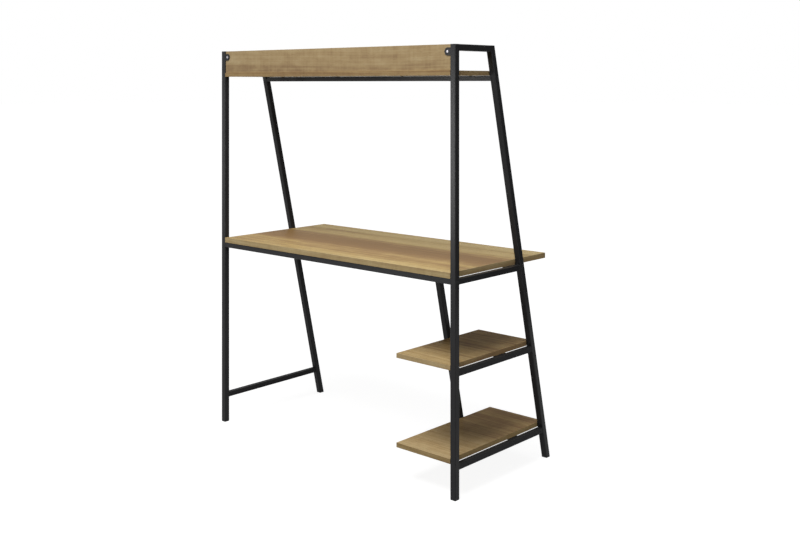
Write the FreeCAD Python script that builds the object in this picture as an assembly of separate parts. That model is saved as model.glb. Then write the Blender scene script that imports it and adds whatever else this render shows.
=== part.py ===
import FreeCAD, Part
import math
import os
from collections import namedtuple

from FreeCAD import Vector

# Writing desk on two leaning steel end frames, with a raised shelf and two side shelves.
# +Z is up, +Y is the back, and the side shelves are at -X. The origin is on the floor, under
# the middle of the whole desk. All sizes are in millimetres.

# Whole desk
overall_height = 1480.0
frame_width = 1202.0
desktop_depth = 547.0

# Square steel tube: posts and legs, then the rails of the end frames, then the lighter rails
post_size = 22.0
post_corner = 2.5
rail_size = 19.0
rail_corner = 1.0
light_rail_size = 18.0
tube_wall = 1.2
inner_corner_least = 0.3
rail_setback = 1.2

# Leaning legs, from the back faces of the posts to the front face of the leg. The mid leg
# leans alike and stands this much further back.
leg_reach_top = 212.0
leg_reach_floor = 546.2
mid_leg_setback = 147.6

# Tops of the rails above the floor
desk_rail_top = 716.9
upper_rail_top = 419.2
lower_rail_top = 115.2

# Boards: a core with a thin edging glued all round
desktop_thickness = 19.0
shelf_thickness = 16.0
board_end_gap = 0.2
edging_thickness = 1.0
edging_arris = 0.3
side_shelf_length = 235.0
side_shelf_overhang = 9.0
top_shelf_setback = 0.5
top_shelf_overhang = 0.7
backboard_setback = 4.0
backboard_height = 85.2
backboard_top_gap = 0.5
mid_leg_gap = 1.0

# Plastic feet and end caps
foot_height = 4.0
foot_chamfer = 1.0
cap_height = 1.5
cap_chamfer = 0.6
push_in_depth = 14.0
push_in_clearance = 0.1

# Bolted rail ends: threaded insert in the rail, bolt inside the carrying tube, push-in plug
bolt_diameter = 6.0
bolt_clearance = 0.25
thread_clearance = 0.05
bolt_bite = 12.0
bolt_head_diameter = 10.0
bolt_head_height = 4.0
hex_key = 5.0
hex_depth = 2.5
rail_insert_length = 16.0
access_diameter = 12.0
plug_depth = 4.0
plug_wall = 1.4
plug_clearance = 0.1

# Screws that hold the boards down on the rails, with a thin washer between
screw_diameter = 4.0
screw_bite = 11.0
screw_head_diameter = 7.6
screw_head_height = 2.4
screw_hole_clearance = 0.25
screw_pilot_clearance = 0.05
screw_access_diameter = 9.0
cross_slot_width = 0.9
cross_slot_length = 4.6
cross_slot_depth = 1.2
washer_diameter = 10.0
washer_thickness = 0.4
long_rail_screw_shares = (-0.84, -0.29, 0.29, 0.84)
cross_rail_screw_shares = (-0.62, 0.62)

# Lugs that carry the backboard between the posts
lug_diameter = 26.0
lug_thickness = 2.0
lug_centre_inset = 12.5
lug_drop = 24.0
lug_screw_diameter = 4.5
lug_screw_bite = 12.0
lug_screw_head_diameter = 9.0
lug_screw_head_height = 1.8

# Screws and dowels up through the top shelf into the backboard
shelf_screw_diameter = 5.0
shelf_screw_bite = 30.0
shelf_screw_head_diameter = 9.0
shelf_screw_head_height = 3.0
shelf_screw_shares = (-0.9, -0.32, 0.32, 0.9)
dowel_diameter = 8.0
dowel_shelf_depth = 10.0
dowel_backboard_depth = 18.0
dowel_chamfer = 1.0
dowel_shares = (-0.6, 0.0, 0.6)

# Plate that joins the mid leg to the underside of the desktop
plate_length = 78.0
plate_width = 46.0
plate_thickness = 3.0
plate_corner = 5.0
plate_screw_inset = 9.0

# Every cut runs past its part by this much
overrun = 5.0

# Places worked out from the sizes above
origin = Vector(0, 0, 0)
x_axis = Vector(1, 0, 0)
y_axis = Vector(0, 1, 0)
z_axis = Vector(0, 0, 1)
back_plane = desktop_depth / 2
post_x = (frame_width - post_size) / 2
post_y = back_plane - post_size / 2
side_rail_x = frame_width / 2 - rail_setback - rail_size / 2
back_rail_y = back_plane - rail_setback - rail_size / 2
lean = math.atan((leg_reach_floor - leg_reach_top) / overall_height)
lean_degrees = math.degrees(lean)
mid_leg_reach_floor = leg_reach_floor - mid_leg_setback
leg_half_run = post_size / math.cos(lean) / 2
board_half_length = frame_width / 2 - post_size - board_end_gap
desktop_bottom = desk_rail_top + washer_thickness
upper_shelf_bottom = upper_rail_top + washer_thickness
lower_shelf_bottom = lower_rail_top + washer_thickness
top_shelf_top = overall_height - backboard_top_gap - backboard_height
top_shelf_bottom = top_shelf_top - shelf_thickness
top_shelf_rail_top = top_shelf_bottom - washer_thickness
backboard_back = back_plane - backboard_setback
backboard_y = backboard_back - shelf_thickness / 2
side_shelf_inner = side_shelf_length - board_half_length
mid_leg_x = side_shelf_inner + mid_leg_gap + post_size / 2
mid_leg_top = desktop_bottom - plate_thickness
tube_top = overall_height - cap_height
lug_x = frame_width / 2 - post_size - lug_centre_inset
lug_z = overall_height - lug_drop

# The two end frames: the side shelves hang on the one at -X
sides = {"shelf_side": -1, "open_side": 1}

# A rail's bolted end: the tube it bolts to, the middle of that tube there, both sizes, and
# which way along X the rail lies from the tube
RailEnd = namedtuple("RailEnd", "carrier x y z carrier_size rail_size toward")

# A screw from a rail up into a board: their names, the screw's place and the rail's size
BoardScrew = namedtuple("BoardScrew", "rail board x y rail_top rail_size")


def leg_y(reach_floor, z):
    """Y of the middle of a leaning leg at height z, for a leg that reaches this far at the floor."""
    return back_plane - reach_floor + leg_half_run + z * math.tan(lean)


def shelf_front(bottom, overhang):
    """Front edge of a shelf, which reaches a little past the front face of the leg beside it."""
    return leg_y(leg_reach_floor, bottom + shelf_thickness) - leg_half_run - overhang


def box_between(low, high):
    """Plain block between two corners."""
    size = high.sub(low)
    return Part.makeBox(size.x, size.y, size.z, low)


def cylinder_up(diameter, length, x, y, z):
    """Upright cylinder with its lower end at x, y, z."""
    return Part.makeCylinder(diameter / 2, length, Vector(x, y, z), z_axis)


def rounded_bar(width, depth, corner, length):
    """Upright bar with four rounded corners, centred on the origin and standing on the floor."""
    bar = Part.makeBox(width, depth, length, Vector(-width / 2, -depth / 2, 0))
    upright_edges = [edge for edge in bar.Edges if edge.BoundBox.ZLength > length / 2]
    return bar.makeFillet(corner, upright_edges)


def hollow(size):
    """Clear width inside a square tube."""
    return size - 2 * tube_wall


def inner_corner(corner):
    """Inside corner radius of a tube with this outside corner."""
    return max(corner - tube_wall, inner_corner_least)


def square_tube(size, corner, length):
    """Upright hollow square tube, centred on the origin and standing on the floor."""
    bore = rounded_bar(hollow(size), hollow(size), inner_corner(corner), length + 2 * overrun)
    bore.translate(Vector(0, 0, -overrun))
    return rounded_bar(size, size, corner, length).cut(bore)


def push_in_bar(size, corner, length):
    """Bar that pushes into the end of a square tube."""
    width = hollow(size) - 2 * push_in_clearance
    return rounded_bar(width, width, inner_corner(corner), length)


def post_tube(length):
    """Tube of the size that posts and legs are made from."""
    return square_tube(post_size, post_corner, length)


def post_envelope(length):
    """Solid bar of the size that posts and legs are made from."""
    return rounded_bar(post_size, post_size, post_corner, length)


def post_push_in(length):
    """Bar that pushes into the end of a post or leg."""
    return push_in_bar(post_size, post_corner, length)


def upright(shape_of, x):
    """Function that makes a length of back post at x between two heights."""

    def between(low, high):
        bar = shape_of(high - low)
        bar.translate(Vector(x, post_y, low))
        return bar

    return between


def leaning(shape_of, x, reach_floor):
    """Function that makes a length of leaning leg at x, cut level at two heights."""

    def between(low, high):
        bar = shape_of(overall_height / math.cos(lean) + 2 * post_size)
        bar.translate(Vector(0, 0, -post_size))
        bar.rotate(origin, x_axis, -lean_degrees)
        bar.translate(Vector(x, leg_y(reach_floor, 0), 0))
        corner = Vector(-frame_width, -frame_width, low)
        return bar.common(box_between(corner, Vector(frame_width, frame_width, high)))

    return between


def along_x(shape, x, y, z, toward):
    """Lays an upright shape down along X, pointing to +X or -X, from x, y, z."""
    shape.rotate(origin, y_axis, 90 * toward)
    shape.translate(Vector(x, y, z))
    return shape


def along_y(shape, x, y, z):
    """Lays an upright shape down along +Y from x, y, z."""
    shape.rotate(origin, x_axis, -90)
    shape.translate(Vector(x, y, z))
    return shape


def side_rail(sign, x, z, size, corner):
    """Rail of an end frame, from the post to the leaning leg, its ends shaped to fit both."""
    start = leg_y(leg_reach_floor, z)
    rail = along_y(square_tube(size, corner, post_y - start), x, start, z)
    post = upright(post_envelope, sign * post_x)(0, overall_height)
    leg = leaning(post_envelope, sign * post_x, leg_reach_floor)(0, overall_height)
    return rail.cut(post).cut(leg)


def lower_side_rail(sign, top):
    """Side rail of the smaller tube, set back a little from the outer face of the post."""
    return side_rail(sign, sign * side_rail_x, top - rail_size / 2, rail_size, rail_corner)


def cross_tube(size, start, end, y, top):
    """Rail along X with square ends, between two faces."""
    return along_x(square_tube(size, rail_corner, end - start), start, y, top - size / 2, 1)


def tube_end(envelope_at, push_in_at, low, high, push_low, push_high, chamfer):
    """Plastic end of a tube: a flange that continues the tube, and a block pushed inside it."""
    outer = low if push_low > low else high
    flange = envelope_at(low, high)
    flat = [edge for edge in flange.Edges if edge.BoundBox.ZLength < chamfer]
    rim = [edge for edge in flat if abs(edge.CenterOfMass.z - outer) < chamfer]
    return flange.makeChamfer(chamfer, rim).fuse(push_in_at(push_low, push_high)).removeSplitter()


def foot(place, x, *reach):
    """Foot of a post or leg."""
    ends = (place(post_envelope, x, *reach), place(post_push_in, x, *reach))
    return tube_end(*ends, 0, foot_height, foot_height, foot_height + push_in_depth, foot_chamfer)


def top_cap(place, x, *reach):
    """Cap on the top of a post or leg."""
    ends = (place(post_envelope, x, *reach), place(post_push_in, x, *reach))
    return tube_end(*ends, tube_top, overall_height, tube_top - push_in_depth, tube_top, cap_chamfer)


def end_frames():
    """Posts, leaning legs and side rails of both end frames, with their feet and caps."""
    made = {}
    for side, sign in sides.items():
        x = sign * post_x
        made[side + "_back_post"] = upright(post_tube, x)(foot_height, tube_top)
        made[side + "_front_leg"] = leaning(post_tube, x, leg_reach_floor)(foot_height, tube_top)
        made[side + "_back_foot"] = foot(upright, x)
        made[side + "_front_foot"] = foot(leaning, x, leg_reach_floor)
        made[side + "_post_cap"] = top_cap(upright, x)
        made[side + "_leg_cap"] = top_cap(leaning, x, leg_reach_floor)
        top_z = overall_height - post_size / 2
        made[side + "_top_rail"] = side_rail(sign, x, top_z, post_size, post_corner)
        made[side + "_desk_rail"] = lower_side_rail(sign, desk_rail_top)
    made["open_side_floor_rail"] = lower_side_rail(sides["open_side"], lower_rail_top)
    made["upper_shelf_side_rail"] = lower_side_rail(sides["shelf_side"], upper_rail_top)
    made["lower_shelf_side_rail"] = lower_side_rail(sides["shelf_side"], lower_rail_top)
    return made


def mid_leg_pieces():
    """Leg under the inner ends of the side shelves, with its foot and the plate on its top."""
    tube = leaning(post_tube, mid_leg_x, mid_leg_reach_floor)(foot_height, mid_leg_top)
    return {
        "mid_leg": tube,
        "mid_leg_foot": foot(leaning, mid_leg_x, mid_leg_reach_floor),
        "mid_leg_plate": mid_leg_plate(),
    }


def plate_screw_places():
    """Centres of the four screws in the mid leg's plate."""
    y = leg_y(mid_leg_reach_floor, mid_leg_top)
    along = plate_length / 2 - plate_screw_inset
    across = plate_width / 2 - plate_screw_inset
    return [(mid_leg_x + i * along, y + j * across) for i in (-1, 1) for j in (-1, 1)]


def mid_leg_plate():
    """Steel plate welded on the mid leg, screwed to the underside of the desktop."""
    plate = rounded_bar(plate_length, plate_width, plate_corner, plate_thickness)
    plate.translate(Vector(mid_leg_x, leg_y(mid_leg_reach_floor, mid_leg_top), mid_leg_top))
    hole_diameter = screw_diameter + 2 * screw_hole_clearance
    for x, y in plate_screw_places():
        plate = plate.cut(cylinder_up(hole_diameter, plate_thickness, x, y, mid_leg_top))
    return plate


def cross_rails():
    """The rails along X, cut square to fit between the tubes that carry them."""
    reach = post_x - post_size / 2
    desk_front_y = leg_y(leg_reach_floor, desk_rail_top - light_rail_size / 2)
    top_front_y = leg_y(leg_reach_floor, top_shelf_rail_top - light_rail_size / 2)
    made = {
        "desk_back_rail": cross_tube(rail_size, -reach, reach, back_rail_y, desk_rail_top),
        "desk_front_rail": cross_tube(light_rail_size, -reach, reach, desk_front_y, desk_rail_top),
        "top_shelf_rail": cross_tube(light_rail_size, -reach, reach, top_front_y, top_shelf_rail_top),
    }
    start = rail_size / 2 - side_rail_x
    end = mid_leg_x - post_size / 2
    for level, top in (("upper", upper_rail_top), ("lower", lower_rail_top)):
        y = leg_y(mid_leg_reach_floor, top - light_rail_size / 2)
        made[level + "_cross_rail"] = cross_tube(light_rail_size, start, end, y, top)
    return made


def rail_ends():
    """Every bolted rail end."""
    desk_z = desk_rail_top - light_rail_size / 2
    top_z = top_shelf_rail_top - light_rail_size / 2
    back_z = desk_rail_top - rail_size / 2
    ends = []
    for side, sign in sides.items():
        post = side + "_back_post"
        leg = side + "_front_leg"
        x = sign * post_x
        ends.append(RailEnd(post, x, back_rail_y, back_z, post_size, rail_size, -sign))
        for z in (desk_z, top_z):
            y = leg_y(leg_reach_floor, z)
            ends.append(RailEnd(leg, x, y, z, post_size, light_rail_size, -sign))
    for level, top in (("upper", upper_rail_top), ("lower", lower_rail_top)):
        z = top - light_rail_size / 2
        y = leg_y(mid_leg_reach_floor, z)
        outer = level + "_shelf_side_rail"
        ends.append(RailEnd(outer, -side_rail_x, y, z, rail_size, light_rail_size, 1))
        ends.append(RailEnd("mid_leg", mid_leg_x, y, z, post_size, light_rail_size, -1))
    return ends


def rail_end_holes(end):
    """Bolt hole in the wall next to the rail, and the wider hole opposite that lets the bolt in."""
    reach = end.carrier_size / 2 + overrun
    place = (end.x, end.y, end.z)
    hole = cylinder_up(bolt_diameter + 2 * bolt_clearance, reach, 0, 0, 0)
    access = cylinder_up(access_diameter, reach, 0, 0, 0)
    return along_x(hole, *place, end.toward).fuse(along_x(access, *place, -end.toward))


def rail_bolt(end):
    """Socket-head bolt: its head sits inside the tube, against the wall next to the rail."""
    seat = end.carrier_size / 2 - tube_wall
    shank = cylinder_up(bolt_diameter, tube_wall + bolt_bite, 0, 0, seat)
    head = cylinder_up(bolt_head_diameter, bolt_head_height, 0, 0, seat - bolt_head_height)
    turns = [math.radians(60 * corner) for corner in range(7)]
    radius = hex_key / math.sqrt(3)
    corners = [Vector(radius * math.cos(turn), radius * math.sin(turn), 0) for turn in turns]
    socket = Part.Face(Part.makePolygon(corners)).extrude(Vector(0, 0, hex_depth))
    socket.translate(Vector(0, 0, seat - bolt_head_height))
    bolt = head.fuse(shank).removeSplitter().cut(socket)
    return along_x(bolt, end.x, end.y, end.z, end.toward)


def rail_insert(end):
    """Threaded steel block fixed in the end of the rail."""
    block = push_in_bar(end.rail_size, rail_corner, rail_insert_length)
    bore = cylinder_up(bolt_diameter + 2 * thread_clearance, rail_insert_length, 0, 0, 0)
    block = block.cut(bore)
    block.translate(Vector(0, 0, end.carrier_size / 2))
    return along_x(block, end.x, end.y, end.z, end.toward)


def access_plug(end):
    """Plastic plug pushed into the access hole, flush with the tube: a hollow-backed disc."""
    diameter = access_diameter - 2 * plug_clearance
    plug = cylinder_up(diameter, plug_depth, 0, 0, 0)
    plug = plug.cut(cylinder_up(diameter - 2 * plug_wall, plug_depth - plug_wall, 0, 0, 0))
    plug.translate(Vector(0, 0, end.carrier_size / 2 - plug_depth))
    return along_x(plug, end.x, end.y, end.z, -end.toward)


def pan_screw(head_diameter, head_height, diameter, length, x, y, seat):
    """Upright screw: shank up from the seat, head below it with a cross recess underneath."""
    head = cylinder_up(head_diameter, head_height, 0, 0, 0)
    rim = [edge for edge in head.Edges if edge.Closed and edge.CenterOfMass.z > head_height / 2]
    head = head.makeFillet(head_height / 2, rim)
    long_slot = Vector(cross_slot_length / 2, cross_slot_width / 2, 0)
    wide_slot = Vector(cross_slot_width / 2, cross_slot_length / 2, 0)
    slot_floor = Vector(0, 0, head_height - cross_slot_depth)
    slot_top = Vector(0, 0, head_height + overrun)
    for corner in (long_slot, wide_slot):
        head = head.cut(box_between(slot_floor.sub(corner), slot_top.add(corner)))
    head.rotate(origin, x_axis, 180)
    screw = head.fuse(cylinder_up(diameter, length, 0, 0, 0)).removeSplitter()
    screw.translate(Vector(x, y, seat))
    return screw


def board_screw_places():
    """Every screw from a rail up into a board."""
    desk_front_y = leg_y(leg_reach_floor, desk_rail_top - light_rail_size / 2)
    top_front_y = leg_y(leg_reach_floor, top_shelf_rail_top - light_rail_size / 2)
    rows = (
        ("desk_back_rail", "desktop", back_rail_y, desk_rail_top, rail_size),
        ("desk_front_rail", "desktop", desk_front_y, desk_rail_top, light_rail_size),
        ("top_shelf_rail", "top_shelf", top_front_y, top_shelf_rail_top, light_rail_size),
    )
    places = []
    for rail, board_name, y, top, size in rows:
        for share in long_rail_screw_shares:
            places.append(BoardScrew(rail, board_name, share * board_half_length, y, top, size))
    middle = side_shelf_inner - side_shelf_length / 2
    for level, top in (("upper", upper_rail_top), ("lower", lower_rail_top)):
        y = leg_y(mid_leg_reach_floor, top - light_rail_size / 2)
        names = (level + "_cross_rail", level + "_side_shelf")
        for share in cross_rail_screw_shares:
            x = middle + share * side_shelf_length / 2
            places.append(BoardScrew(*names, x, y, top, light_rail_size))
    return places


def board_screw_holes(at):
    """Screw hole in the top wall of a rail, and the wider hole below that lets the screw in."""
    middle = at.rail_top - at.rail_size / 2
    hole = cylinder_up(screw_diameter + 2 * screw_hole_clearance, at.rail_size, at.x, at.y, middle)
    access = cylinder_up(screw_access_diameter, at.rail_size, at.x, at.y, middle - at.rail_size)
    return hole.fuse(access)


def board_screw(at):
    """Screw inside a rail, its head against the underside of the top wall."""
    head = (screw_head_diameter, screw_head_height)
    length = tube_wall + washer_thickness + screw_bite
    return pan_screw(*head, screw_diameter, length, at.x, at.y, at.rail_top - tube_wall)


def board_washer(at):
    """Thin fibre washer between a rail and its board."""
    disc = cylinder_up(washer_diameter, washer_thickness, at.x, at.y, at.rail_top)
    hole_diameter = screw_diameter + 2 * screw_hole_clearance
    return disc.cut(cylinder_up(hole_diameter, washer_thickness, at.x, at.y, at.rail_top))


def pilot_hole(x, y, bottom):
    """Hole that a board screw fills in the underside of its board."""
    return cylinder_up(screw_diameter + 2 * screw_pilot_clearance, screw_bite, x, y, bottom)


def board(low, high):
    """Edge-banded board between two corners: its core, and four separate edging strips."""
    core_low = low.add(Vector(edging_thickness, edging_thickness, 0))
    core_high = high.sub(Vector(edging_thickness, edging_thickness, 0))
    core = box_between(core_low, core_high)
    whole = box_between(low, high)
    ring = whole.makeFillet(edging_arris, whole.Edges).cut(core)
    strips = (
        (low, Vector(high.x, core_low.y, high.z)),
        (Vector(low.x, core_high.y, low.z), high),
        (Vector(low.x, core_low.y, low.z), Vector(core_low.x, core_high.y, high.z)),
        (Vector(core_high.x, core_low.y, low.z), Vector(high.x, core_high.y, high.z)),
    )
    cut_strips = [ring.common(box_between(*corners)) for corners in strips]
    return core, Part.makeCompound([solid for strip in cut_strips for solid in strip.Solids])


def upright_board(low, high):
    """The same board standing on its long edge, with its faces to the front and the back."""
    made = board(Vector(low.x, low.z, -high.y), Vector(high.x, high.z, -low.y))
    for shape in made:
        shape.rotate(origin, x_axis, 90)
    return made


def boards():
    """Cores and edging of the five boards."""
    half = board_half_length
    inner = side_shelf_inner
    top_back = back_plane - top_shelf_setback
    top_front = shelf_front(top_shelf_bottom, top_shelf_overhang)
    upper_front = shelf_front(upper_shelf_bottom, side_shelf_overhang)
    lower_front = shelf_front(lower_shelf_bottom, side_shelf_overhang)
    lying = {
        "desktop": (half, -back_plane, back_plane, desktop_bottom, desktop_thickness),
        "top_shelf": (half, top_front, top_back, top_shelf_bottom, shelf_thickness),
        "upper_side_shelf": (inner, upper_front, back_plane, upper_shelf_bottom, shelf_thickness),
        "lower_side_shelf": (inner, lower_front, back_plane, lower_shelf_bottom, shelf_thickness),
    }
    made = {}
    for name, (end, front, back, bottom, thickness) in lying.items():
        corners = (Vector(-half, front, bottom), Vector(end, back, bottom + thickness))
        made[name + "_panel"], made[name + "_edging"] = board(*corners)
    low = Vector(-half, backboard_back - shelf_thickness, top_shelf_top)
    high = Vector(half, backboard_back, top_shelf_top + backboard_height)
    made["backboard_panel"], made["backboard_edging"] = upright_board(low, high)
    return made


def backboard_lug(sign):
    """Steel lug welded to a post, round at its free end, with the hole for the backboard's screw."""
    disc = Part.makeCylinder(lug_diameter / 2, lug_thickness, origin, y_axis)
    root_high = Vector(lug_centre_inset + post_corner, lug_thickness, lug_diameter / 2)
    root = box_between(Vector(0, 0, -lug_diameter / 2), root_high)
    plate = disc.fuse(root).removeSplitter()
    hole_radius = lug_screw_diameter / 2 + screw_hole_clearance
    plate = plate.cut(Part.makeCylinder(hole_radius, lug_thickness, origin, y_axis))
    if sign < 0:
        plate = plate.mirror(origin, x_axis)
    plate.translate(Vector(sign * lug_x, backboard_back, lug_z))
    return plate.cut(upright(post_envelope, sign * post_x)(0, overall_height))


def lug_screw(sign):
    """Zinc-plated pan-head screw through a lug into the backboard."""
    head = (lug_screw_head_diameter, lug_screw_head_height)
    screw = pan_screw(*head, lug_screw_diameter, lug_thickness + lug_screw_bite, 0, 0, 0)
    screw.rotate(origin, x_axis, 90)
    screw.translate(Vector(sign * lug_x, backboard_back + lug_thickness, lug_z))
    return screw


def lug_screw_hole(sign):
    """Hole that a lug's screw fills in the back of the backboard."""
    radius = lug_screw_diameter / 2 + screw_pilot_clearance
    start = Vector(sign * lug_x, backboard_back - lug_screw_bite, lug_z)
    return Part.makeCylinder(radius, lug_screw_bite, start, y_axis)


def shelf_screw(x):
    """Screw up through the top shelf into the backboard, its head sunk in the underside."""
    head = (shelf_screw_head_diameter, shelf_screw_head_height)
    length = shelf_thickness - shelf_screw_head_height + shelf_screw_bite
    seat = top_shelf_bottom + shelf_screw_head_height
    return pan_screw(*head, shelf_screw_diameter, length, x, backboard_y, seat)


def shelf_screw_hole(x):
    """Hole and head recess for one such screw."""
    diameter = shelf_screw_diameter + 2 * screw_pilot_clearance
    depth = shelf_thickness + shelf_screw_bite
    shank = cylinder_up(diameter, depth, x, backboard_y, top_shelf_bottom)
    recess_diameter = shelf_screw_head_diameter + 2 * screw_pilot_clearance
    recess_depth = overrun + shelf_screw_head_height
    start = top_shelf_bottom - overrun
    return shank.fuse(cylinder_up(recess_diameter, recess_depth, x, backboard_y, start))


def dowel(x):
    """Plain beech dowel, partly in the top shelf and partly in the backboard."""
    length = dowel_shelf_depth + dowel_backboard_depth
    peg = cylinder_up(dowel_diameter, length, x, backboard_y, top_shelf_top - dowel_shelf_depth)
    return peg.makeChamfer(dowel_chamfer, [edge for edge in peg.Edges if edge.Closed])


def dowel_hole(x):
    """Hole that a dowel fills in the top shelf and the backboard."""
    diameter = dowel_diameter + 2 * screw_pilot_clearance
    depth = dowel_shelf_depth + dowel_backboard_depth
    return cylinder_up(diameter, depth, x, backboard_y, top_shelf_top - dowel_shelf_depth)


pieces = end_frames()
pieces.update(mid_leg_pieces())
pieces.update(cross_rails())
pieces.update(boards())


def cut_from(names, cutter):
    """Cuts one hole or pocket out of each named piece."""
    for name in names:
        pieces[name] = pieces[name].cut(cutter)


for side, sign in sides.items():
    pieces[side + "_lug"] = backboard_lug(sign)
    cut_from(["backboard_panel"], lug_screw_hole(sign))
pieces["lug_screws"] = Part.makeCompound([lug_screw(sign) for sign in sides.values()])

for end in rail_ends():
    cut_from([end.carrier], rail_end_holes(end))
pieces["rail_bolts"] = Part.makeCompound([rail_bolt(end) for end in rail_ends()])
pieces["rail_inserts"] = Part.makeCompound([rail_insert(end) for end in rail_ends()])
pieces["access_plugs"] = Part.makeCompound([access_plug(end) for end in rail_ends()])

for at in board_screw_places():
    cut_from([at.rail], board_screw_holes(at))
    cut_from([at.board + "_panel"], pilot_hole(at.x, at.y, at.rail_top + washer_thickness))
pieces["board_screws"] = Part.makeCompound([board_screw(at) for at in board_screw_places()])
pieces["board_washers"] = Part.makeCompound([board_washer(at) for at in board_screw_places()])

plate_screws = []
for x, y in plate_screw_places():
    cut_from(["desktop_panel"], pilot_hole(x, y, desktop_bottom))
    head = (screw_head_diameter, screw_head_height)
    length = plate_thickness + screw_bite
    plate_screws.append(pan_screw(*head, screw_diameter, length, x, y, mid_leg_top))
pieces["mid_leg_plate_screws"] = Part.makeCompound(plate_screws)

screw_places = [share * board_half_length for share in shelf_screw_shares]
dowel_places = [share * board_half_length for share in dowel_shares]
joined = ["top_shelf_panel", "backboard_panel", "backboard_edging"]
for x in screw_places:
    cut_from(joined, shelf_screw_hole(x))
for x in dowel_places:
    cut_from(joined, dowel_hole(x))
pieces["backboard_screws"] = Part.makeCompound([shelf_screw(x) for x in screw_places])
pieces["backboard_dowels"] = Part.makeCompound([dowel(x) for x in dowel_places])

os.makedirs("parts", exist_ok=True)
for name, shape in pieces.items():
    shape.exportStep("parts/" + name + ".step")
    bounds = shape.BoundBox
    lengths = [round(length, 1) for length in (bounds.XLength, bounds.YLength, bounds.ZLength)]
    print(name, "solids", len(shape.Solids), "volume", round(shape.Volume), "size", lengths)
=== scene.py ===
import math

import bpy
import numpy as np
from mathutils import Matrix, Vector


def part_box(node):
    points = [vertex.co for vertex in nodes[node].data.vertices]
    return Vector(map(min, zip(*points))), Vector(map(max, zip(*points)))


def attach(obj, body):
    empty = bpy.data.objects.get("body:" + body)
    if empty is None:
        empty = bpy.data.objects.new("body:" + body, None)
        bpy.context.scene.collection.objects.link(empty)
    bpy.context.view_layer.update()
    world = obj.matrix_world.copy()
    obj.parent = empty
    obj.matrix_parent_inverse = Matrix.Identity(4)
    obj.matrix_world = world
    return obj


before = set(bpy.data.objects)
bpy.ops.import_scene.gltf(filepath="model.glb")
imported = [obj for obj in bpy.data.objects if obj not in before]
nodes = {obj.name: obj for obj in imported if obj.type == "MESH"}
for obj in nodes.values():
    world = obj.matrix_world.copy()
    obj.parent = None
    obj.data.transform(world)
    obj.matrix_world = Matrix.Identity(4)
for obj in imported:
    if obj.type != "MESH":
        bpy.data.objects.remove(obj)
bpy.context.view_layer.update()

scene = bpy.context.scene

# Camera
# The desk is seen from behind its shelf end, level, from a little under the top of the posts.
# The lens shift keeps the posts upright, as in a view camera, and frames the desk.
lens_mm = 46.7
sensor_mm = 36.0
camera_place = (-2.7112, 2.8871, 1.3513)
camera_heading = math.radians(221.97)
frame_drop_share = -0.2287

camera_data = bpy.data.cameras.new("camera")
camera_data.lens = lens_mm
camera_data.sensor_width = sensor_mm
camera_data.shift_y = frame_drop_share
camera = bpy.data.objects.new("camera", camera_data)
camera.location = camera_place
camera.rotation_euler = (math.radians(90), 0, camera_heading)
scene.collection.objects.link(camera)
scene.camera = camera

# End frames and rails
# Cold-drawn square steel tube, welded and powder-coated in a fine satin black with a faint
# orange peel. The coat gives a soft grey sheen on faces turned to the light. The low rails at
# both ends and the cross rails under the side shelves carry a duller coat.
coat_tones = ((0.3, "#2e2e2f"), (0.75, "#323233"))
coat_roughness = (0.19, 0.24)
coat_gloss = 0.07
low_rail_coat_roughness = (0.5, 0.56)
low_rail_coat_gloss = 0.04
coat_cloud_mm = 70.0
orange_peel_mm = 1.4
orange_peel_detail = 2.0
orange_peel_roughness = 0.6
orange_peel_depth_mm = 0.012
orange_peel_strength = 0.5


def linear(code):
    """Linear colour with alpha of an sRGB hex code."""
    parts = np.array([int(code[i:i + 2], 16) for i in (1, 3, 5)]) / 255
    made = np.where(parts <= 0.04045, parts / 12.92, ((parts + 0.055) / 1.055) ** 2.4)
    return (*made.tolist(), 1.0)


def add(material, kind, inputs=None, tones=(), **settings):
    """Adds one shader node: inputs maps a socket to a value or to the output that feeds it.

    tones are the (position, sRGB hex) stops of a colour ramp, from its low end to its high one.
    """
    tree = material.node_tree
    node = tree.nodes.new(kind)
    for name, value in settings.items():
        setattr(node, name, value)
    for name, value in (inputs or {}).items():
        if isinstance(value, bpy.types.NodeSocket):
            tree.links.new(value, node.inputs[name])
        else:
            node.inputs[name].default_value = value
    if tones:
        stops = node.color_ramp.elements
        for stop, (position, code) in zip(stops, (tones[0], tones[-1])):
            stop.position = position
            stop.color = linear(code)
        for position, code in tones[1:-1]:
            stops.new(position).color = linear(code)
    return node


def empty_material(name):
    """New material with nothing but its output node."""
    material = bpy.data.materials.new(name)
    material.use_nodes = True
    material.node_tree.nodes.clear()
    return material


def finish_material(material, shader):
    """Links the shader to the material's output."""
    add(material, "ShaderNodeOutputMaterial", {"Surface": shader.outputs[0]})
    return material


def powder_coat(name, roughness, gloss):
    """Black powder coat: a noise in mm gives the orange peel, a larger one the sheen."""
    material = empty_material(name)
    place = add(material, "ShaderNodeTexCoord").outputs["Object"]
    cloud = add(
        material, "ShaderNodeTexNoise", {"Vector": place, "Scale": 1000 / coat_cloud_mm}
    ).outputs["Fac"]
    peel = add(
        material, "ShaderNodeTexNoise",
        {
            "Vector": place,
            "Scale": 1000 / orange_peel_mm,
            "Detail": orange_peel_detail,
            "Roughness": orange_peel_roughness,
        },
    ).outputs["Fac"]
    colour = add(material, "ShaderNodeValToRGB", {"Fac": cloud}, coat_tones).outputs["Color"]
    rough = add(
        material, "ShaderNodeMapRange",
        {"Value": cloud, "To Min": roughness[0], "To Max": roughness[1]},
    ).outputs["Result"]
    bump = add(
        material, "ShaderNodeBump",
        {
            "Height": peel,
            "Strength": orange_peel_strength,
            "Distance": orange_peel_depth_mm / 1000,
        },
    ).outputs["Normal"]
    shader = add(
        material, "ShaderNodeBsdfPrincipled",
        {"Base Color": colour, "Roughness": rough, "Specular IOR Level": gloss, "Normal": bump},
    )
    return finish_material(material, shader)


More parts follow.
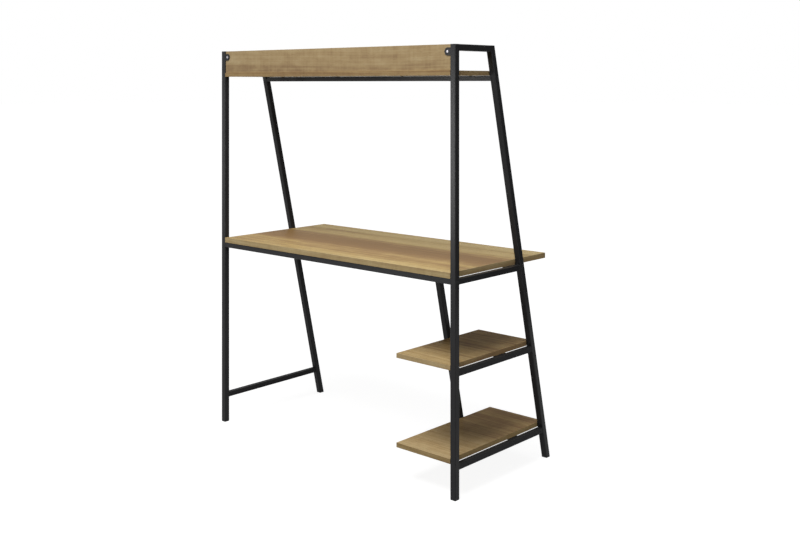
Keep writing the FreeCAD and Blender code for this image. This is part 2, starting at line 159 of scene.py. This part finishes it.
def dress(names, material):
    """Gives CAD nodes one material."""
    for name in names:
        mesh = nodes[name].data
        mesh.materials.clear()
        mesh.materials.append(material)


ends = ("shelf_side_", "open_side_")
end_pieces = ("back_post", "front_leg", "top_rail", "desk_rail", "lug")
steel_names = [end + part for end in ends for part in end_pieces]
steel_names += ["desk_back_rail", "desk_front_rail", "top_shelf_rail", "mid_leg", "mid_leg_plate"]
steel = powder_coat("powder coat satin black", coat_roughness, coat_gloss)
dress(steel_names, steel)
low_rail_names = ["open_side_floor_rail", "upper_shelf_side_rail", "lower_shelf_side_rail"]
low_rail_names += ["upper_cross_rail", "lower_cross_rail"]
dull_steel = powder_coat("powder coat dull black", low_rail_coat_roughness, low_rail_coat_gloss)
dress(low_rail_names, dull_steel)

# Weld beads
# Each side rail is welded all round to its post and leg, and the mid leg to its plate. The bead
# is a thin rippled line in the corner between the two faces, under the satin coat of the posts.
bead_radius_m = 0.0011
bead_inset_m = 0.0004
bead_sides = 10
ripple_pitch_m = 0.0016
ripple_share = 0.10
rail_corner_m = 0.001
post_corner_m = 0.0025
steps_per_ripple = 5
outline_points = 400
slope_rounds = 20


def bead_ring(middle, across, up, corner):
    """Closed bead round a tube's end: (points, faces) of a ring carried round the outline.

    The outline is middle + u across + v up, where (u, v) runs round the rounded square of half
    sides |across|, |up| and the given corner radius. At distance s along it the ring has radius
    r (1 + a sin(2 pi s / p)), with p set so that a whole number of ripples closes the loop.
    """
    wide, high = np.linalg.norm(across), np.linalg.norm(up)
    turn = np.linspace(0.0, 2 * np.pi, outline_points, endpoint=False)
    reach = np.stack([np.cos(turn), np.sin(turn)])
    corner_middle = np.sign(reach) * np.array([[wide - corner], [high - corner]])
    u, v = corner_middle + corner * reach
    u = np.append(u, u[0]) / wide
    v = np.append(v, v[0]) / high
    path = middle + u[:, None] * across + v[:, None] * up
    run = np.concatenate([[0.0], np.cumsum(np.linalg.norm(np.diff(path, axis=0), axis=1))])
    ripples = round(run[-1] / ripple_pitch_m)
    count = ripples * steps_per_ripple
    s = np.linspace(0.0, run[-1], count, endpoint=False)
    centre = np.stack([np.interp(s, run, path[:, axis]) for axis in range(3)], axis=1)
    ahead = np.roll(centre, -1, axis=0) - np.roll(centre, 1, axis=0)
    ahead /= np.linalg.norm(ahead, axis=1, keepdims=True)
    normal = np.cross(across, up) / np.linalg.norm(np.cross(across, up))
    side = np.cross(ahead, normal)
    radius = bead_radius_m * (1 + ripple_share * np.sin(2 * np.pi * ripples * s / run[-1]))
    angle = np.linspace(0.0, 2 * np.pi, bead_sides, endpoint=False)
    ring = np.cos(angle)[None, :, None] * side[:, None, :] + np.sin(angle)[None, :, None] * normal
    points = centre[:, None, :] + radius[:, None, None] * ring
    i, j = np.meshgrid(np.arange(count), np.arange(bead_sides), indexing="ij")
    ahead_i = (i + 1) % count
    next_j = (j + 1) % bead_sides
    corners = ((i, j), (ahead_i, j), (ahead_i, next_j), (i, next_j))
    faces = np.stack([a * bead_sides + b for a, b in corners], axis=-1)
    return points.reshape(-1, 3), faces.reshape(-1, 4)


def piece(name, parts, material):
    """One mesh of several (points, faces) parts, which rides on the desk under its root body."""
    starts = np.cumsum([0] + [len(points) for points, _ in parts[:-1]])
    points = np.concatenate([points for points, _ in parts])
    faces = np.concatenate([faces + start for start, (_, faces) in zip(starts, parts)])
    mesh = bpy.data.meshes.new(name)
    mesh.from_pydata(points.tolist(), [], faces.tolist())
    mesh.polygons.foreach_set("use_smooth", [True] * len(mesh.polygons))
    mesh.materials.append(material)
    made = bpy.data.objects.new(name, mesh)
    scene.collection.objects.link(made)
    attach(made, "root")


def leg_slope():
    """How far a leg's middle line runs back per metre of height, from the ends of its tube.

    A tube of depth d that leans by the slope m takes d sqrt(1 + m^2) along Y, so m is worked
    out in rounds, each from the one before.
    """
    low, high = [np.array(corner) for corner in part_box("open_side_front_leg")]
    post_depth = np.subtract(*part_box("open_side_back_post")[::-1])[1]
    slope = 0.0
    for _ in range(slope_rounds):
        slope = (high[1] - low[1] - post_depth * math.sqrt(1 + slope ** 2)) / (high[2] - low[2])
    return slope


slope = leg_slope()
leg_high = np.array(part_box("open_side_front_leg")[1])
leg_back_at_foot = leg_high[1] - slope * leg_high[2]
post_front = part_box("open_side_back_post")[0][1]
welded_rails = ("shelf_side_desk_rail", "open_side_desk_rail", "open_side_floor_rail")
welded_rails += ("upper_shelf_side_rail", "lower_shelf_side_rail")
rings = []
for name in welded_rails:
    low, high = [np.array(corner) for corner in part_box(name)]
    middle = (low + high) / 2
    half = (high[2] - low[2]) / 2 - bead_inset_m
    across = np.array([half, 0.0, 0.0])
    at_post = np.array([middle[0], post_front, middle[2]])
    rings.append(bead_ring(at_post, across, np.array([0.0, 0.0, half]), rail_corner_m))
    at_leg = np.array([middle[0], leg_back_at_foot + slope * middle[2], middle[2]])
    rings.append(bead_ring(at_leg, across, np.array([0.0, slope * half, half]), rail_corner_m))
low, high = [np.array(corner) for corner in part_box("mid_leg")]
half = (high[0] - low[0]) / 2 - bead_inset_m
half_run = (high[0] - low[0]) / 2 * math.sqrt(1 + slope ** 2)
at_plate = np.array([(low[0] + high[0]) / 2, high[1] - half_run, high[2]])
along_run = np.array([0.0, half_run - bead_inset_m, 0.0])
rings.append(bead_ring(at_plate, np.array([half, 0.0, 0.0]), along_run, post_corner_m))
piece("weld_beads", rings, steel)

# Boards
# Chipboard with a printed oak decor under matt melamine, its grain along the board. The print
# has wide soft bands, short pores, and faint blotches and saw marks across the grain. The
# desktop is drawn darker along its middle and lighter near its front edge.
oak_light = "#c4ad79"
oak_middle = "#b0955f"
oak_dark = "#93754a"
oak_heart = "#80623b"
oak_pore = "#775938"
oak_tones = ((0.22, oak_heart), (0.36, oak_dark), (0.48, oak_middle), (0.62, oak_light))
melamine_roughness = (0.46, 0.60)
# Each pattern has its size across and along the grain in mm, its detail and its own seat in
# the noise, so that no two patterns line up. Fibres and pores are coarser than in real oak, so
# that they show.
print_patterns = {
    "bands": (95.0, 2400.0, 2.0, 3.1),
    "streaks": (8.0, 560.0, 3.0, 7.7),
    "fibres": (1.6, 150.0, 2.0, 1.3),
    "pores": (0.9, 16.0, 0.0, 5.9),
    "saw_marks": (90.0, 12.0, 1.0, 9.4),
    "blotches": (30.0, 60.0, 1.0, 2.6),
}
wander_pattern = (400.0, 900.0, 1.0, 0.0)
wander_reach_mm = 26.0
grain_shares = {"bands": 0.50, "streaks": 0.38, "fibres": 0.12}
mark_shares = {"saw_marks": 0.07, "blotches": 0.14}
noise_middle = 0.5
pore_edge = (0.66, 0.74)
pore_strength = 0.5
fibre_relief = 0.3
print_relief_mm = 0.06
print_relief_strength = 0.35
unturned_hue = 0.5
end_face_share = 0.7


def grain_noise(material, place, across_mm, along_mm, detail, seat):
    """Noise with cells along_mm long, across_mm wide and across_mm deep, moved on by seat."""
    cells = add(
        material, "ShaderNodeMapping",
        {
            "Vector": place,
            "Scale": (1000 / along_mm, 1000 / across_mm, 1000 / across_mm),
            "Location": (seat, seat, 0.0),
        },
    ).outputs["Vector"]
    return add(
        material, "ShaderNodeTexNoise", {"Vector": cells, "Scale": 1.0, "Detail": detail}
    ).outputs["Fac"]


def round_the_board(material, place, normal):
    """Swaps X and Y on faces to +X and -X, so that a print follows the edging round a board."""
    facing = add(material, "ShaderNodeSeparateXYZ", {"Vector": normal}).outputs["X"]
    turned = add(material, "ShaderNodeMath", {0: facing}, operation="ABSOLUTE").outputs[0]
    at_end = add(
        material, "ShaderNodeMath", {0: turned, 1: end_face_share}, operation="GREATER_THAN"
    ).outputs[0]
    parts = add(material, "ShaderNodeSeparateXYZ", {"Vector": place}).outputs
    swapped = add(
        material, "ShaderNodeCombineXYZ", {"X": parts["Y"], "Y": parts["X"], "Z": parts["Z"]}
    ).outputs["Vector"]
    return add(
        material, "ShaderNodeMix", {0: at_end, 4: place, 5: swapped}, data_type="VECTOR"
    ).outputs[1]


def broad_tone(material, grain, bands_across):
    """Smooth curve through the tones of the broad bands, by the place across the print."""
    across = add(material, "ShaderNodeSeparateXYZ", {"Vector": grain}).outputs["Y"]
    low, high = bands_across[0][0], bands_across[-1][0]
    share = add(
        material, "ShaderNodeMapRange", {"Value": across, "From Min": low, "From Max": high}
    ).outputs["Result"]
    curve = add(material, "ShaderNodeValToRGB", {"Fac": share})
    curve.color_ramp.interpolation = "CARDINAL"
    stops = curve.color_ramp.elements
    for place, _ in bands_across[1:-1]:
        stops.new((place - low) / (high - low))
    for stop, (_, change) in zip(stops, bands_across):
        tone = noise_middle + change
        stop.color = (tone, tone, tone, 1.0)
    return curve.outputs["Color"]


def oak_decor(
    name, turn=(0.0, 0.0, 0.0), shift=(0.0, 0.0, 0.0), contrast=1.0, warmth=1.0, depth=1.0,
    along_strip=False, cross_marks=1.0, bands_across=None, gloss=0.06, hue_shift=0.0,
):
    """Oak print: bands, streaks, fibres and pores are noises far longer along than across.

    Its tone is a middle one, or that of the broad bands, plus the sum over its patterns of
    share x (noise - middle of the noise).

    turn and shift lay the print on the board. contrast spreads its tones, warmth is its
    saturation, hue_shift turns its hue and depth is its brightness. along_strip turns the
    print along Y on faces to +X and -X, as edging is laid. cross_marks is how strong the saw
    marks and blotches are. bands_across lists (place across the print in metres, change in
    tone there) for the broad bands. gloss is the specular level of the melamine.
    """
    material = empty_material(name)
    sources = add(material, "ShaderNodeTexCoord").outputs
    place = sources["Object"]
    if along_strip:
        place = round_the_board(material, place, sources["Normal"])
    laid = add(
        material, "ShaderNodeMapping", {"Vector": place, "Rotation": turn, "Location": shift}
    ).outputs["Vector"]
    wander = grain_noise(material, laid, *wander_pattern)
    reach = wander_reach_mm / 1000
    drift = add(
        material, "ShaderNodeMapRange", {"Value": wander, "To Min": -reach, "To Max": reach}
    ).outputs["Result"]
    offset = add(material, "ShaderNodeCombineXYZ", {"Y": drift}).outputs["Vector"]
    grain = add(
        material, "ShaderNodeVectorMath", {0: laid, 1: offset}, operation="ADD"
    ).outputs["Vector"]
    noises = {
        pattern: grain_noise(material, grain, *sizes)
        for pattern, sizes in print_patterns.items()
    }
    shares = {pattern: contrast * share for pattern, share in grain_shares.items()}
    shares.update({pattern: cross_marks * share for pattern, share in mark_shares.items()})
    tone = noise_middle
    if bands_across is not None:
        tone = broad_tone(material, grain, bands_across)
    for pattern, share in shares.items():
        change = add(
            material, "ShaderNodeMath", {0: noises[pattern], 1: noise_middle}, operation="SUBTRACT"
        ).outputs[0]
        tone = add(
            material, "ShaderNodeMath", {0: change, 1: share, 2: tone}, operation="MULTIPLY_ADD"
        ).outputs[0]
    colour = add(material, "ShaderNodeValToRGB", {"Fac": tone}, oak_tones).outputs["Color"]
    pore_mask = add(
        material, "ShaderNodeMapRange",
        {
            "Value": noises["pores"],
            "From Min": pore_edge[0],
            "From Max": pore_edge[1],
            "To Max": pore_strength * contrast,
        },
    ).outputs["Result"]
    colour = add(
        material, "ShaderNodeMix", {0: pore_mask, 6: colour, 7: linear(oak_pore)}, data_type="RGBA"
    ).outputs[2]
    colour = add(
        material, "ShaderNodeHueSaturation",
        {"Color": colour, "Hue": unturned_hue + hue_shift, "Saturation": warmth, "Value": depth},
    ).outputs["Color"]
    raised = add(
        material, "ShaderNodeMath", {0: noises["fibres"], 1: fibre_relief}, operation="MULTIPLY"
    ).outputs[0]
    height = add(
        material, "ShaderNodeMath", {0: raised, 1: pore_mask}, operation="SUBTRACT"
    ).outputs[0]
    bump = add(
        material, "ShaderNodeBump",
        {
            "Height": height,
            "Strength": print_relief_strength,
            "Distance": print_relief_mm / 1000,
        },
    ).outputs["Normal"]
    rough = add(
        material, "ShaderNodeMapRange",
        {
            "Value": noises["streaks"],
            "To Min": melamine_roughness[0],
            "To Max": melamine_roughness[1],
        },
    ).outputs["Result"]
    shader = add(
        material, "ShaderNodeBsdfPrincipled",
        {"Base Color": colour, "Roughness": rough, "Specular IOR Level": gloss, "Normal": bump},
    )
    return finish_material(material, shader)


upright_turn = (math.radians(90), 0.0, 0.0)
# Change in tone across the desktop: darkest along its middle, lighter near its front edge.
desktop_bands = (
    (-0.28, 0.06), (-0.22, 0.18), (-0.15, 0.0), (-0.08, -0.06), (-0.03, -0.19), (0.01, -0.31),
    (0.09, -0.2), (0.14, -0.13), (0.19, -0.02), (0.28, -0.01),
)
backboard_bands = (
    (-1.18, -0.02), (-1.135, 0.01), (-1.124, 0.01), (-1.115, -0.03), (-1.094, -0.04),
)
# Change in tone across the side shelves: lighter along their rear edges, darker towards their
# fronts.
upper_shelf_bands = ((0.3, -0.06), (0.6, -0.05), (0.74, -0.04), (0.82, 0.08))
lower_shelf_bands = ((0.98, -0.05), (1.09, -0.1), (1.3, -0.03), (1.4, 0.0), (1.52, 0.06))
oak_prints = {
    "desktop": dict(contrast=1.35, depth=1.02, bands_across=desktop_bands),
    "top_shelf": dict(shift=(0.4, 0.9, 0.0), depth=0.85),
    "backboard": dict(
        turn=upright_turn, shift=(1.7, 0.3, 0.0), contrast=0.55, warmth=0.86, depth=0.775,
        cross_marks=1.4, bands_across=backboard_bands, hue_shift=-0.005,
    ),
    "upper_side_shelf": dict(
        shift=(2.3, 0.55, 0.0), contrast=1.1, warmth=0.96, bands_across=upper_shelf_bands,
        gloss=0.02, hue_shift=-0.006,
    ),
    "lower_side_shelf": dict(
        shift=(3.1, 1.25, 0.0), contrast=1.0, warmth=0.93, bands_across=lower_shelf_bands,
        gloss=0.02, hue_shift=-0.007,
    ),
}
for board, settings in oak_prints.items():
    dress([board + "_panel"], oak_decor("oak decor " + board.replace("_", " "), **settings))

# Edging
# A one-millimetre strip in the same oak print, glued round each board, with a small rounded
# arris. Its print runs along the strip, so the ends of a board show no end grain.
edging_contrast = 0.8
edging_prints = {
    "desktop": dict(shift=(5.2, 0.1, 0.0), warmth=0.87, depth=0.93),
    "top_shelf": dict(shift=(6.1, 0.1, 0.0), warmth=0.93, depth=0.69, hue_shift=-0.009),
    "backboard": dict(shift=(7.4, 0.1, 0.0), warmth=0.9, depth=0.84, hue_shift=-0.005),
    "upper_side_shelf": dict(shift=(8.3, 0.1, 0.0), warmth=0.9, depth=0.94, hue_shift=-0.005),
    "lower_side_shelf": dict(shift=(9.2, 0.1, 0.0), warmth=0.93, depth=0.81, hue_shift=-0.004),
}
for board, settings in edging_prints.items():
    edging = oak_decor(
        "oak decor edging " + board.replace("_", " "),
        turn=upright_turn, contrast=edging_contrast, along_strip=True, **settings,
    )
    dress([board + "_edging"], edging)

# Feet, caps and plugs
# Injection-moulded black polyethylene pushed into the tube ends and access holes. The mould's
# fine spark texture leaves it matt, a little greyer than the coat in flat light.
plastic_black = "#292a2a"
plastic_roughness = (0.5, 0.68)
plastic_gloss = 0.08
spark_mm = 0.7
spark_detail = 3.0
spark_depth_mm = 0.04
spark_strength = 0.4


def moulded_plastic():
    """Matt black plastic: a fine noise in mm stands for the mould's spark texture.

    It is drawn coarser than the real texture of about 0.2 mm, so that it shows.
    """
    material = empty_material("moulded polyethylene black")
    place = add(material, "ShaderNodeTexCoord").outputs["Object"]
    spark = add(
        material, "ShaderNodeTexNoise",
        {"Vector": place, "Scale": 1000 / spark_mm, "Detail": spark_detail},
    ).outputs["Fac"]
    bump = add(
        material, "ShaderNodeBump",
        {"Height": spark, "Strength": spark_strength, "Distance": spark_depth_mm / 1000},
    ).outputs["Normal"]
    rough = add(
        material, "ShaderNodeMapRange",
        {"Value": spark, "To Min": plastic_roughness[0], "To Max": plastic_roughness[1]},
    ).outputs["Result"]
    shader = add(
        material, "ShaderNodeBsdfPrincipled",
        {
            "Base Color": linear(plastic_black),
            "Roughness": rough,
            "Specular IOR Level": plastic_gloss,
            "Normal": bump,
        },
    )
    return finish_material(material, shader)


end_fittings = ("back_foot", "front_foot", "post_cap", "leg_cap")
plastic_names = [end + fitting for end in ends for fitting in end_fittings]
dress(plastic_names + ["mid_leg_foot", "access_plugs"], moulded_plastic())

# Screws, bolts and inserts
# Cold-headed steel with a bright zinc plate, faintly blue and slightly satin. The screws in
# the two lugs are the only ones that show from behind.
zinc_tones = ((0.3, "#8c8a8f"), (0.7, "#a9a7ac"))
zinc_roughness = (0.28, 0.42)
plating_mm = 3.0
plating_detail = 3.0


def zinc_plate():
    """Zinc plating: metallic, with a soft cloudy noise in its colour and roughness."""
    material = empty_material("zinc plated steel")
    place = add(material, "ShaderNodeTexCoord").outputs["Object"]
    cloud = add(
        material, "ShaderNodeTexNoise",
        {"Vector": place, "Scale": 1000 / plating_mm, "Detail": plating_detail},
    ).outputs["Fac"]
    colour = add(material, "ShaderNodeValToRGB", {"Fac": cloud}, zinc_tones).outputs["Color"]
    rough = add(
        material, "ShaderNodeMapRange",
        {"Value": cloud, "To Min": zinc_roughness[0], "To Max": zinc_roughness[1]},
    ).outputs["Result"]
    shader = add(
        material, "ShaderNodeBsdfPrincipled",
        {"Base Color": colour, "Metallic": 1.0, "Roughness": rough},
    )
    return finish_material(material, shader)


fastener_names = ["lug_screws", "rail_bolts", "rail_inserts", "board_screws"]
dress(fastener_names + ["mid_leg_plate_screws", "backboard_screws"], zinc_plate())

# Washers
# Thin discs of grey vulcanised fibre that keep the boards off the rails, so a fine line of
# light shows between them.
washer_tones = ((0.35, "#5c5a57"), (0.65, "#6b6965"))
washer_roughness = 0.8
felt_mm = 0.7
felt_detail = 2.0


def vulcanised_fibre():
    """Vulcanised fibre: matt grey with a felted noise in mm, coarser than real so that it shows."""
    material = empty_material("vulcanised fibre")
    place = add(material, "ShaderNodeTexCoord").outputs["Object"]
    felt = add(
        material, "ShaderNodeTexNoise",
        {"Vector": place, "Scale": 1000 / felt_mm, "Detail": felt_detail},
    ).outputs["Fac"]
    colour = add(material, "ShaderNodeValToRGB", {"Fac": felt}, washer_tones).outputs["Color"]
    shader = add(
        material, "ShaderNodeBsdfPrincipled",
        {"Base Color": colour, "Roughness": washer_roughness},
    )
    return finish_material(material, shader)


dress(["board_washers"], vulcanised_fibre())

# Dowels
# Plain turned beech, pale and fine. They sit inside the joint between the top shelf and the
# backboard, so they show only when it is taken apart.
beech_tones = ((0.4, "#c9a878"), (0.6, "#b18d5c"))
beech_roughness = 0.6
flecks_per_metre = (900.0, 900.0, 150.0)


def beech():
    """Beech: short flecks, six times as long as wide, along the upright dowel."""
    material = empty_material("turned beech")
    place = add(material, "ShaderNodeTexCoord").outputs["Object"]
    laid = add(
        material, "ShaderNodeMapping", {"Vector": place, "Scale": flecks_per_metre}
    ).outputs["Vector"]
    fleck = add(material, "ShaderNodeTexNoise", {"Vector": laid, "Scale": 1.0}).outputs["Fac"]
    colour = add(material, "ShaderNodeValToRGB", {"Fac": fleck}, beech_tones).outputs["Color"]
    shader = add(
        material, "ShaderNodeBsdfPrincipled",
        {"Base Color": colour, "Roughness": beech_roughness},
    )
    return finish_material(material, shader)


dress(["backboard_dowels"], beech())

# Floor
# A plain pale floor that keeps the desk's shadow. Where it is looked at, it is lifted nearly to
# the surround's white beside the desk, and all the way to it further off.
floor_reach_m = 60.0
floor_white = "#969696"
floor_roughness = 0.9
floor_glow_near = 0.89
floor_glow_far = 1.0
floor_near_m = 1.2
floor_far_m = 3.0
white = (1.0, 1.0, 1.0, 1.0)


def shown(material):
    """One for the rays that show the surround itself, nothing for those that light the desk."""
    rays = add(material, "ShaderNodeLightPath").outputs
    seen = rays["Is Camera Ray"]
    for kind in ("Is Glossy Ray", "Is Transmission Ray"):
        seen = add(
            material, "ShaderNodeMath", {0: seen, 1: rays[kind]}, operation="MAXIMUM"
        ).outputs[0]
    return seen


def pale_floor():
    """Pale floor that keeps its shadow, lifted to the surround's white where it is looked at."""
    material = empty_material("pale floor")
    place = add(material, "ShaderNodeTexCoord").outputs["Object"]
    away = add(material, "ShaderNodeVectorMath", {0: place}, operation="LENGTH").outputs["Value"]
    lift = add(
        material, "ShaderNodeMapRange",
        {
            "Value": away,
            "From Min": floor_near_m,
            "From Max": floor_far_m,
            "To Min": floor_glow_near,
            "To Max": floor_glow_far,
        },
        interpolation_type="SMOOTHSTEP",
    ).outputs["Result"]
    glow = add(
        material, "ShaderNodeMath", {0: shown(material), 1: lift}, operation="MULTIPLY"
    ).outputs[0]
    shader = add(
        material, "ShaderNodeBsdfPrincipled",
        {
            "Base Color": linear(floor_white),
            "Roughness": floor_roughness,
            "Specular IOR Level": 0.0,
            "Emission Color": white,
            "Emission Strength": glow,
        },
    )
    return finish_material(material, shader)


floor_mesh = bpy.data.meshes.new("floor")
floor_corners = [(-1, -1), (1, -1), (1, 1), (-1, 1)]
floor_points = [(floor_reach_m * x, floor_reach_m * y, 0.0) for x, y in floor_corners]
floor_mesh.from_pydata(floor_points, [], [(0, 1, 2, 3)])
floor_mesh.materials.append(pale_floor())
floor = bpy.data.objects.new("floor", floor_mesh)
scene.collection.objects.link(floor)

# Flag
# A black cloth stretched upright beyond the front corner of the shelf end, as a photographer's
# flag is. Only reflections see it, and it keeps the coat of the shelf end dark.
flag_place = (-2.15, -2.1, 0.0)
flag_direction = (-0.77, 0.64, 0.0)
flag_wide_m = 2.4
flag_high_m = 2.3
flag_weave_mm = 2.0
cloth_tones = ((0.3, "#0b0b0b"), (0.7, "#101010"))
cloth_roughness = 0.95


def dark_cloth():
    """Black cloth: a fine weave noise on a colour that gives almost nothing back."""
    material = empty_material("black cloth")
    place = add(material, "ShaderNodeTexCoord").outputs["Object"]
    weave = add(
        material, "ShaderNodeTexNoise", {"Vector": place, "Scale": 1000 / flag_weave_mm}
    ).outputs["Fac"]
    colour = add(material, "ShaderNodeValToRGB", {"Fac": weave}, cloth_tones).outputs["Color"]
    shader = add(
        material, "ShaderNodeBsdfPrincipled",
        {"Base Color": colour, "Roughness": cloth_roughness, "Specular IOR Level": 0.0},
    )
    return finish_material(material, shader)


flag_half = np.array(flag_direction) * flag_wide_m / 2
flag_foot = np.array(flag_place)
flag_head = flag_foot + np.array([0.0, 0.0, flag_high_m])
flag_points = [flag_foot - flag_half, flag_foot + flag_half]
flag_points += [flag_head + flag_half, flag_head - flag_half]
flag_mesh = bpy.data.meshes.new("flag")
flag_mesh.from_pydata([point.tolist() for point in flag_points], [], [(0, 1, 2, 3)])
flag_mesh.materials.append(dark_cloth())
flag = bpy.data.objects.new("flag", flag_mesh)
flag.visible_camera = False
flag.visible_diffuse = False
flag.visible_shadow = False
flag.visible_transmission = False
scene.collection.objects.link(flag)

# Light
# A wide soft lamp hangs above and behind the desk and a weak one above its front. Two low ones
# far behind its open end give the posts their sheen, one stands beside its shelf end, and a
# white surround fills. Each lamp has its place, what it is aimed at, its two sizes and watts.
surround_fill = 0.12
lamps = (
    ("overhead_lamp", (-0.55, 1.7, 3.6), (-0.1, 0.0, 0.7), 2.3, 1.8, 109.0),
    ("front_lamp", (0.2, -1.0, 3.4), (0.0, 0.0, 0.7), 1.6, 1.2, 17.0),
    ("back_lamp", (3.5, 5.3, 0.65), (-0.6, 0.27, 1.1), 1.1, 1.5, 82.0),
    ("open_end_lamp", (3.9, 2.9, 0.85), (0.6, 0.27, 1.0), 1.2, 1.0, 7.0),
    ("side_lamp", (-4.2, -0.4, 1.3), (0.0, 0.0, 0.8), 1.6, 1.2, 24.0),
)

world = bpy.data.worlds.new("surround")
world.use_nodes = True
world.node_tree.nodes.clear()
strength = add(
    world, "ShaderNodeMapRange", {"Value": shown(world), "To Min": surround_fill, "To Max": 1.0}
).outputs["Result"]
background = add(world, "ShaderNodeBackground", {"Color": white, "Strength": strength})
add(world, "ShaderNodeOutputWorld", {"Surface": background.outputs[0]})
scene.world = world

for name, place, aim, wide, high, power in lamps:
    lamp_data = bpy.data.lights.new(name, "AREA")
    lamp_data.shape = "RECTANGLE"
    lamp_data.size = wide
    lamp_data.size_y = high
    lamp_data.energy = power
    lamp = bpy.data.objects.new(name, lamp_data)
    lamp.location = place
    lamp.rotation_euler = (Vector(aim) - Vector(place)).to_track_quat("-Z", "Y").to_euler()
    scene.collection.objects.link(lamp)

scene.view_settings.view_transform = "Standard"
